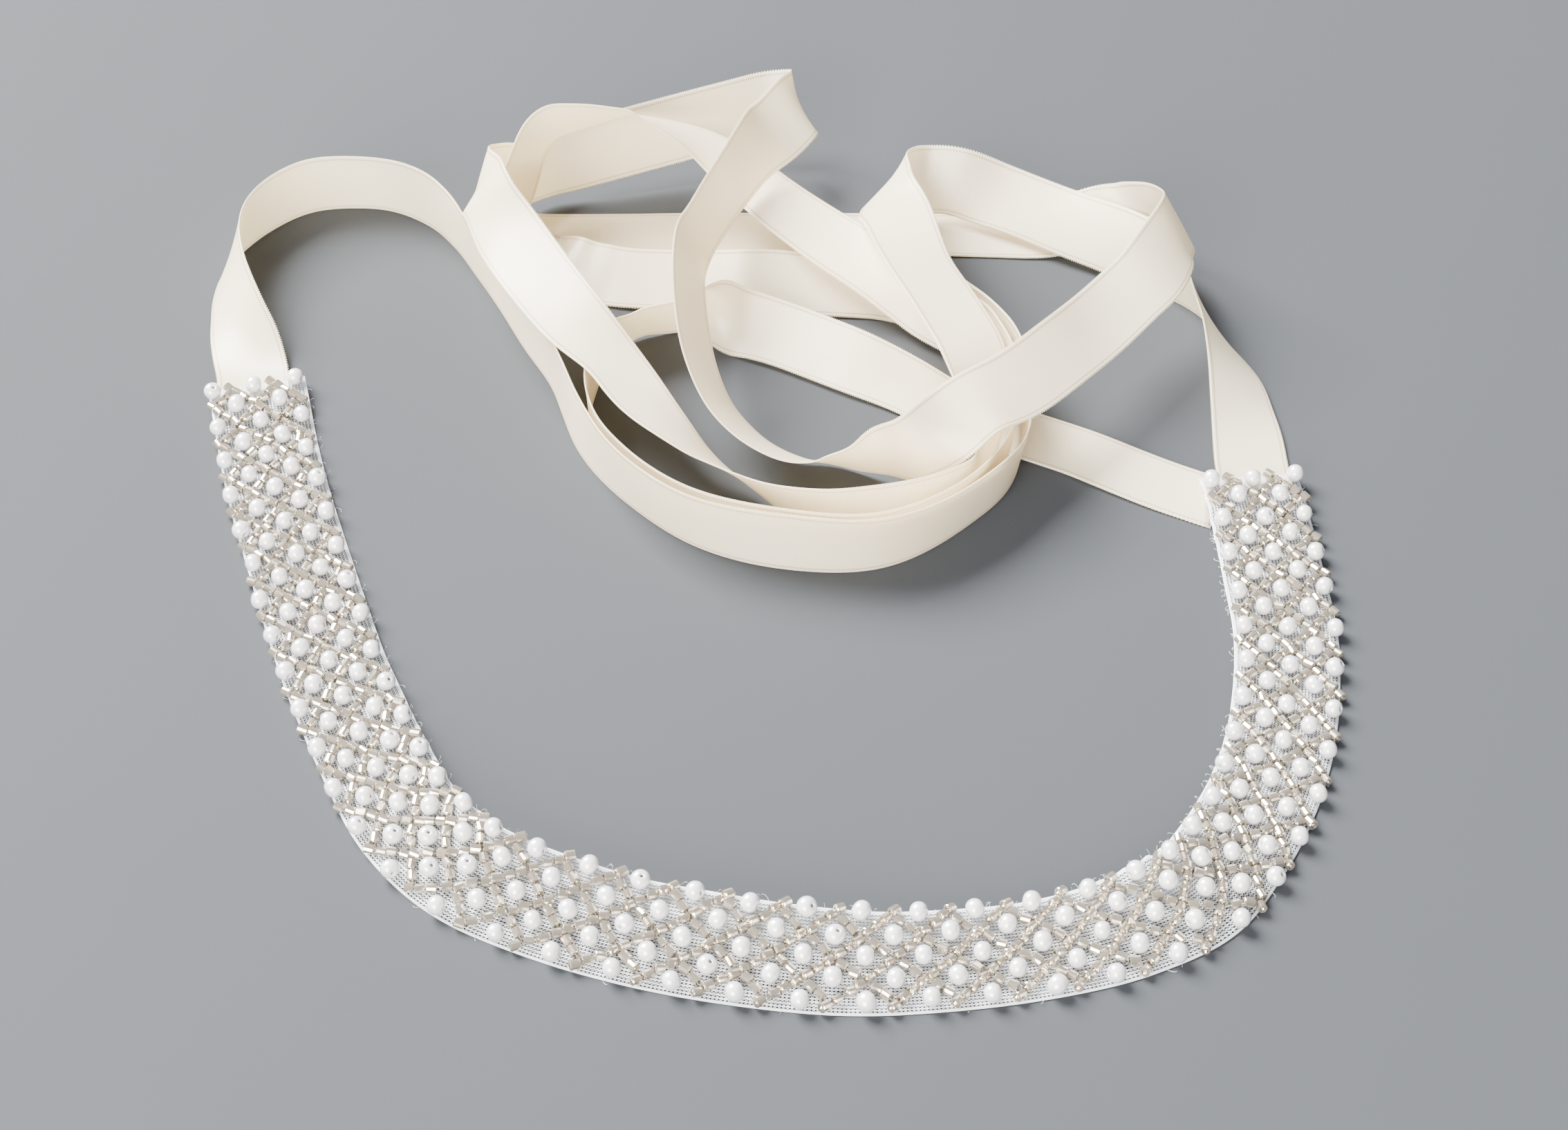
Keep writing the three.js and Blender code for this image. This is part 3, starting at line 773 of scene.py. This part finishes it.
def pearls(material):
    """Barrel-shaped pearls with a drilled hole. Most lie down, and a few stand on end."""
    spots = pearl_places()
    count = len(spots)
    spots = spots + RNG.normal(0, PEARL_SCATTER, spots.shape)
    centres, travel, side, out = band_place(spots[:, 0], spots[:, 1])
    centres += out * (PEARL_RADIUS - PEARL_SINK)
    angle = np.arctan2(side[:, 0], travel[:, 0]) + RNG.normal(0, PEARL_SWING, count)
    on_end = RNG.random(count) < PEARL_ON_END_SHARE
    tilt = np.where(on_end, RNG.uniform(*PEARL_ON_END_TILTS, count), RNG.normal(0, PEARL_TILT, count))
    flat = travel * np.cos(angle)[:, None] + side * np.sin(angle)[:, None]
    forward = flat * np.cos(tilt)[:, None] + out * np.sin(tilt)[:, None]
    # Up leans to one side, so that it is never in line with a pearl that stands on end
    turns = axes_from(forward, out + side * PEARL_UP_LEAN)
    turns = turns * RNG.normal(1, PEARL_SIZE_SPREAD, count)[:, None, None]
    edge = math.asin((PEARL_HOLE / PEARL_RADIUS) ** (1 / PEARL_ROUNDNESS))
    bow = np.linspace(edge, math.pi - edge, PEARL_BOW_POINTS)
    outer = np.stack([
        PEARL_HALF_LENGTH * np.cos(bow) / math.cos(edge),
        PEARL_RADIUS * np.sin(bow) ** PEARL_ROUNDNESS,
    ], -1)
    inner = np.array([[-PEARL_HALF_LENGTH, PEARL_HOLE], [PEARL_HALF_LENGTH, PEARL_HOLE]]) * PEARL_HOLE_WAIST
    points, faces = turned_shape(np.concatenate([outer, inner]), PEARL_SIDES)
    return make_object("pearls", [copies_part(points, faces, centres, turns)], material)


def lattice_lines():
    """The bead lines between the pearls: start and way of each diamond side, and if its line is unbroken."""
    columns, pitch = pearl_columns()
    middle = (PEARL_ROWS - 1) / 2
    sides = []
    for column in range(-2, columns + 1):
        for row in range(-1, PEARL_ROWS + 1):
            if (column + row) % 2 == 0:
                continue
            start = (PEARL_END_MARGIN + column * pitch, (row - middle) * PEARL_ROW_PITCH)
            sides.append((start, (pitch, -PEARL_ROW_PITCH), True))
            sides.append((start, (pitch, PEARL_ROW_PITCH), False))
    return sides


def tube_places():
    """Middles and ways of the tube beads along and across the band, and if each is in an unbroken line."""
    spots, ways, unbroken = [], [], []
    for start, way, whole in lattice_lines():
        length = math.hypot(*way)
        if whole:
            stops = (np.arange(TUBES_IN_LINE) + 0.5) * length / TUBES_IN_LINE
        else:
            stops = length / 2 + np.array([-0.5, 0.5]) * TUBE_PAIR_PITCH
        for stop in stops:
            spots.append(np.array(start) + np.array(way) * stop / length)
            ways.append(np.array(way) / length)
            unbroken.append(whole)
    spots, ways, unbroken = np.array(spots), np.array(ways), np.array(unbroken)
    inside = np.abs(spots[:, 1]) < NET_WIDTH / 2 - NET_RIM
    inside &= (spots[:, 0] > TUBE_END_MARGIN) & (spots[:, 0] < BAND_LENGTH - TUBE_END_MARGIN)
    return spots[inside], ways[inside], unbroken[inside]


def tube_beads(glass, silver):
    """Tube beads of clear glass with a square silvered hole, as two joined pieces: glass and lining."""
    spots, ways, unbroken = tube_places()
    count = len(spots)
    spots = spots + RNG.normal(0, TUBE_SCATTER, spots.shape)
    centres, travel, side, out = band_place(spots[:, 0], spots[:, 1])
    centres += out * (TUBE_RADIUS + RNG.uniform(0, TUBE_RISE, count))[:, None]
    swing = RNG.normal(0, TUBE_SWING, count)
    along = ways[:, 0] * np.cos(swing) - ways[:, 1] * np.sin(swing)
    across = ways[:, 0] * np.sin(swing) + ways[:, 1] * np.cos(swing)
    lean = np.where(unbroken, -TUBE_LEAN * np.clip(travel[:, 0], 0, 1), 0)
    lean = lean + RNG.normal(0, TUBE_LEAN_SPREAD, count)
    forward = unit(travel * along[:, None] + side * across[:, None]) + out * lean[:, None]
    roll = RNG.uniform(0, 2 * math.pi, count)
    turns = axes_from(forward, out)
    rolled = turns.copy()
    rolled[..., 1] = turns[..., 1] * np.cos(roll)[:, None] + turns[..., 2] * np.sin(roll)[:, None]
    rolled[..., 2] = turns[..., 2] * np.cos(roll)[:, None] - turns[..., 1] * np.sin(roll)[:, None]
    rolled = rolled * RNG.normal(1, TUBE_SIZE_SPREAD, count)[:, None, None]
    half = TUBE_LENGTH / 2
    outline = np.array([
        [half, TUBE_HOLE],
        [half, TUBE_RADIUS * TUBE_LIP],
        [half * TUBE_FLANK, TUBE_RADIUS],
        [-half * TUBE_FLANK, TUBE_RADIUS],
        [-half, TUBE_RADIUS * TUBE_LIP],
        [-half, TUBE_HOLE],
    ])
    points, faces = turned_shape(outline, TUBE_SIDES)
    bodies = make_object("tube_beads", [copies_part(points, faces, centres, rolled)], glass, smooth=False)
    lining = np.array([[-half, 1], [-half, LINING_BORE], [half, LINING_BORE], [half, 1]])
    points, faces = turned_shape(lining * [LINING_FIT, TUBE_HOLE * LINING_FIT], 4)
    linings = make_object("tube_linings", [copies_part(points, faces, centres, rolled)], silver)
    return bodies, linings


def sewing_thread(material):
    """The thread that runs through each line of beads."""
    angles = np.arange(4) * math.pi / 2
    points, faces = [], []
    for start, way, _ in lattice_lines():
        share = np.linspace(0, 1, len(THREAD_HEIGHTS))[:, None]
        spots = np.array(start) + share * np.array(way)
        if (np.abs(spots[:, 1]) > NET_WIDTH / 2 - NET_RIM).any():
            continue
        if spots[0, 0] < THREAD_END_MARGIN or spots[-1, 0] > BAND_LENGTH - THREAD_END_MARGIN:
            continue
        path, _, _, out = band_place(spots[:, 0], spots[:, 1])
        path += out * (TUBE_RADIUS * THREAD_HEIGHTS)[:, None]
        forward = travel_of(path)
        beside = unit(np.cross(forward, out))
        above = np.cross(beside, forward)
        first = len(points) * 4
        for spot, wide, high in zip(path, beside, above):
            points.append([spot + THREAD_RADIUS * (wide * math.cos(a) + high * math.sin(a)) for a in angles])
        for j in range(len(path) - 1):
            base = first + j * 4
            for a in range(4):
                b = (a + 1) % 4
                faces.append([base + a, base + b, base + b + 4, base + a + 4])
    lines = {"points": np.array(points), "faces": [np.array(faces)]}
    return make_object("sewing_thread", [lines], material)


# Materials


def colour(hex_text):
    """A linear colour from an sRGB hex colour."""
    parts = [int(hex_text[i:i + 2], 16) / 255 for i in (1, 3, 5)]
    return [p / 12.92 if p <= 0.04045 else ((p + 0.055) / 1.055) ** 2.4 for p in parts] + [1.0]


def add_node(tree, kind, links=None, **settings):
    """Adds a node; links gives sockets a value or another node's output, and settings are its own choices."""
    new = tree.nodes.new(kind)
    for name, value in settings.items():
        setattr(new, name, value)
    for socket, value in (links or {}).items():
        if isinstance(value, bpy.types.NodeSocket):
            tree.links.new(value, new.inputs[socket])
        else:
            new.inputs[socket].default_value = value
    return new


def new_material(name):
    """A material with an empty node tree and its output."""
    material = bpy.data.materials.new(name)
    material.use_nodes = True
    material.node_tree.nodes.clear()
    return material, material.node_tree, add_node(material.node_tree, "ShaderNodeOutputMaterial")


def satin_material():
    """Polyester satin ribbon with woven picot selvages: long floats along it give a soft sheen across."""
    material, tree, output = new_material("ivory_satin")
    cut = add_node(tree, "ShaderNodeUVMap", uv_map="cut").outputs[0]
    apart = add_node(tree, "ShaderNodeSeparateXYZ", {0: cut})
    side = add_node(tree, MATHS, {0: apart.outputs[0]}, operation="ABSOLUTE").outputs[0]
    from_edge = add_node(tree, MATHS, {0: RIBBON_WIDTH / 2, 1: side}, operation="SUBTRACT").outputs[0]
    on_line = add_node(tree, MATHS, {
        0: from_edge, 1: STITCH_INSET, 2: STITCH_HALF_WIDTH,
    }, operation="COMPARE").outputs[0]
    picots_along = add_node(tree, MATHS, {0: apart.outputs[1], 1: PICOT_PITCH}, operation="DIVIDE").outputs[0]
    in_picot = add_node(tree, MATHS, {0: picots_along}, operation="FRACT").outputs[0]
    dash = add_node(tree, MATHS, {0: in_picot, 1: STITCH_SHARE}, operation="LESS_THAN").outputs[0]
    stitch = add_node(tree, MATHS, {0: on_line, 1: dash}, operation="MULTIPLY").outputs[0]
    # Weft picks, drawn coarser than the real ones. At scale 1 the bands of a wave are pi / 10 apart
    picks = add_node(tree, "ShaderNodeTexWave", {
        "Vector": cut, "Scale": math.pi / 10 / PICK_PITCH, "Distortion": 0.6, "Detail": 1.0,
    }, wave_type="BANDS", bands_direction="Y").outputs["Fac"]
    streak_place = add_node(tree, "ShaderNodeMapping", {
        "Vector": cut, "Scale": (1 / STREAK_WIDTH, 1 / STREAK_LENGTH, 1.0),
    }).outputs[0]
    streaks = add_node(tree, "ShaderNodeTexNoise", {
        "Vector": streak_place, "Scale": 1.0, "Detail": 3.0,
    }).outputs[0]
    faint = add_node(tree, MATHS, {0: streaks, 1: 0.1}, operation="MULTIPLY").outputs[0]
    shade = add_node(tree, MATHS, {0: stitch, 1: 0.85, 2: faint}, operation="MULTIPLY_ADD").outputs[0]
    base = add_node(tree, "ShaderNodeMix", {
        0: shade, 6: colour("#F8EDD6"), 7: colour("#A8967C"),
    }, data_type="RGBA").outputs[2]
    sunk = add_node(tree, MATHS, {0: stitch, 1: -1.0}, operation="MULTIPLY").outputs[0]
    height = add_node(tree, MATHS, {0: picks, 1: 0.35, 2: sunk}, operation="MULTIPLY_ADD").outputs[0]
    bump = add_node(tree, "ShaderNodeBump", {
        "Height": height, "Strength": 0.35, "Distance": 0.00006,
    }).outputs[0]
    tangent = add_node(tree, "ShaderNodeTangent", direction_type="UV_MAP", uv_map="cut").outputs[0]
    cloth = add_node(tree, "ShaderNodeBsdfPrincipled", {
        "Base Color": base, "Roughness": 0.3, "IOR": 1.65, "Normal": bump, "Anisotropic": 0.6,
        "Tangent": tangent,
    }).outputs[0]
    through = add_node(tree, "ShaderNodeBsdfTranslucent", {
        "Color": colour("#FFF6DE"), "Normal": bump,
    }).outputs[0]
    mix = add_node(tree, "ShaderNodeMixShader", {0: 0.35, 1: cloth, 2: through}).outputs[0]
    tree.links.new(mix, output.inputs[0])
    return material


def pearl_material():
    """Glass pearls dipped in pearl essence: a white body under a smooth coat, with painted shade that darkens
    and cools its colour towards its rim.
    """
    material, tree, output = new_material("pearl_coat")
    # Painted shade: the colour turns darker and cooler where the surface turns away from the view
    painted_rim_shade = add_node(tree, "ShaderNodeLayerWeight", {"Blend": 0.35}).outputs["Facing"]
    base = add_node(tree, "ShaderNodeMix", {
        0: painted_rim_shade, 6: colour("#EBE8E7"), 7: colour("#A6A4B3"),
    }, data_type="RGBA").outputs[2]
    grain = add_node(tree, "ShaderNodeTexNoise", {
        "Scale": BEADS_SPAN / PEARL_GRAIN, "Detail": 2.0,
    }).outputs[0]
    bump = add_node(tree, "ShaderNodeBump", {
        "Height": grain, "Strength": 0.12, "Distance": 0.00005,
    }).outputs[0]
    shader = add_node(tree, "ShaderNodeBsdfPrincipled", {
        "Base Color": base, "Roughness": 0.3, "IOR": 1.7, "Normal": bump,
        "Coat Weight": 1.0, "Coat Roughness": 0.12, "Coat IOR": 2.0,
    }).outputs[0]
    tree.links.new(shader, output.inputs[0])
    return material


def glass_material():
    """Clear glass over a silvered hole: most of the light comes back warm from the silver under it."""
    material, tree, output = new_material("clear_glass")
    shader = add_node(tree, "ShaderNodeBsdfPrincipled", {
        "Base Color": colour("#D8CCB9"), "Roughness": 0.16, "IOR": 1.5, "Metallic": 0.75,
        "Transmission Weight": 0.5, "Coat Weight": 1.0, "Coat Roughness": 0.04,
    }).outputs[0]
    tree.links.new(shader, output.inputs[0])
    return material


def silver_material():
    """Silver mirror lining in the bead's square hole, warm where it shows through the glass."""
    material, tree, output = new_material("silver_lining")
    shader = add_node(tree, "ShaderNodeBsdfPrincipled", {
        "Base Color": colour("#EFE6D6"), "Metallic": 1.0, "Roughness": 0.14,
    }).outputs[0]
    tree.links.new(shader, output.inputs[0])
    return material


def net_material():
    """Ribbed nylon net: fine ribs along the strip and slanting threads between them, open elsewhere."""
    material, tree, output = new_material("white_net")
    cut = add_node(tree, "ShaderNodeUVMap", uv_map="cut").outputs[0]
    apart = add_node(tree, "ShaderNodeSeparateXYZ", {0: cut})
    across, along = apart.outputs[0], apart.outputs[1]
    mask = 0.0
    for turn_across, turn_along, pitch, share in NET_THREADS:
        place = add_node(tree, MATHS, {0: across, 1: turn_across}, operation="MULTIPLY").outputs[0]
        place = add_node(tree, MATHS, {
            0: along, 1: turn_along, 2: place,
        }, operation="MULTIPLY_ADD").outputs[0]
        place = add_node(tree, MATHS, {0: place, 1: pitch}, operation="DIVIDE").outputs[0]
        place = add_node(tree, MATHS, {0: place}, operation="FRACT").outputs[0]
        strand = add_node(tree, MATHS, {0: place, 1: share}, operation="LESS_THAN").outputs[0]
        mask = add_node(tree, MATHS, {0: mask, 1: strand}, operation="MAXIMUM").outputs[0]
    side = add_node(tree, MATHS, {0: across}, operation="ABSOLUTE").outputs[0]
    rolled = add_node(tree, MATHS, {
        0: side, 1: NET_WIDTH / 2 - NET_ROLL,
    }, operation="GREATER_THAN").outputs[0]
    mask = add_node(tree, MATHS, {0: mask, 1: rolled}, operation="MAXIMUM").outputs[0]
    thread = add_node(tree, "ShaderNodeBsdfPrincipled", {
        "Base Color": colour("#E3E6EA"), "Roughness": 0.6, "Sheen Weight": 0.1,
    }).outputs[0]
    open_net = add_node(tree, "ShaderNodeBsdfTransparent").outputs[0]
    mix = add_node(tree, "ShaderNodeMixShader", {0: mask, 1: open_net, 2: thread}).outputs[0]
    tree.links.new(mix, output.inputs[0])
    return material


def thread_material():
    """White spun polyester sewing thread: matt, with a fine twist."""
    material, tree, output = new_material("white_thread")
    twist = add_node(tree, "ShaderNodeTexNoise", {"Scale": BEADS_SPAN / THREAD_TWIST}).outputs[0]
    bump = add_node(tree, "ShaderNodeBump", {
        "Height": twist, "Strength": 0.3, "Distance": 0.00003,
    }).outputs[0]
    shader = add_node(tree, "ShaderNodeBsdfPrincipled", {
        "Base Color": colour("#F4F4F3"), "Roughness": 0.6, "Normal": bump,
    }).outputs[0]
    tree.links.new(shader, output.inputs[0])
    return material


def floor_material():
    """Matt painted board under the sash: an even grey without a shine."""
    material, tree, output = new_material("matt_grey_board")
    grain = add_node(tree, "ShaderNodeTexNoise", {
        "Scale": FLOOR_SIDE / BOARD_MOTTLE, "Detail": 4.0,
    }).outputs[0]
    base = add_node(tree, "ShaderNodeMix", {
        0: grain, 6: colour("#33363B"), 7: colour("#36393E"),
    }, data_type="RGBA").outputs[2]
    shader = add_node(tree, "ShaderNodeBsdfPrincipled", {"Base Color": base, "Roughness": 0.85}).outputs[0]
    tree.links.new(shader, output.inputs[0])
    return material


# The pieces


satin = satin_material()
thread = thread_material()
left_tie, left_length = ribbon("left_tie", LEFT_TIE, satin, phase=0.4, end_reach=(1.0, 6.5))
right_tie, right_length = ribbon("right_tie", RIGHT_TIE, satin, phase=1.9, end_reach=(0, 0))
net = net_band(net_material())
hairs = net_hairs(thread)
pearl_rows = pearls(pearl_material())
glass_tubes, silver_linings = tube_beads(glass_material(), silver_material())
threads = sewing_thread(thread)

for piece in (left_tie, right_tie, net, hairs, pearl_rows, glass_tubes, silver_linings, threads):
    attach(piece, "root")
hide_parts(*LEFT_TIE)
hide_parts(*RIGHT_TIE)
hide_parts("net_band")


# Floor, light and camera


def area_light(name, place, size, power, tint):
    """A square soft light that faces the sash."""
    light = bpy.data.lights.new(name, "AREA")
    light.size = size
    light.energy = power
    light.color = colour(tint)[:3]
    lamp = bpy.data.objects.new(name, light)
    lamp.location = place
    aim = -np.array(place)
    lamp.rotation_euler = (math.acos(-aim[2] / np.linalg.norm(aim)), 0, math.atan2(-aim[0], aim[1]))
    bpy.context.scene.collection.objects.link(lamp)


reach = FLOOR_SIDE * MM / 2
corners = [(-reach, -reach, 0), (reach, -reach, 0), (reach, reach, 0), (-reach, reach, 0)]
floor_mesh = bpy.data.meshes.new("floor")
floor_mesh.from_pydata(corners, [], [(0, 1, 2, 3)])
floor_mesh.materials.append(floor_material())
floor = bpy.data.objects.new("floor", floor_mesh)
floor.location.z = -FLOOR_DROP * MM
bpy.context.scene.collection.objects.link(floor)

for light in LIGHTS:
    area_light(*light)

world = bpy.data.worlds.new("studio")
world.use_nodes = True
background = world.node_tree.nodes["Background"]
background.inputs[0].default_value = colour("#EEF1F5")
background.inputs[1].default_value = WORLD_STRENGTH
bpy.context.scene.world = world

camera_data = bpy.data.cameras.new("camera")
camera_data.lens = CAMERA_LENS
camera_data.clip_end = CAMERA_FAR * MM
camera = bpy.data.objects.new("camera", camera_data)
camera.location = (np.array([
    0,
    -CAMERA_DISTANCE * math.cos(CAMERA_ELEVATION),
    CAMERA_DISTANCE * math.sin(CAMERA_ELEVATION),
]) - REST_MIDDLE) * MM
camera.rotation_euler = (math.pi / 2 - CAMERA_ELEVATION, 0, 0)
bpy.context.scene.collection.objects.link(camera)
bpy.context.scene.camera = camera
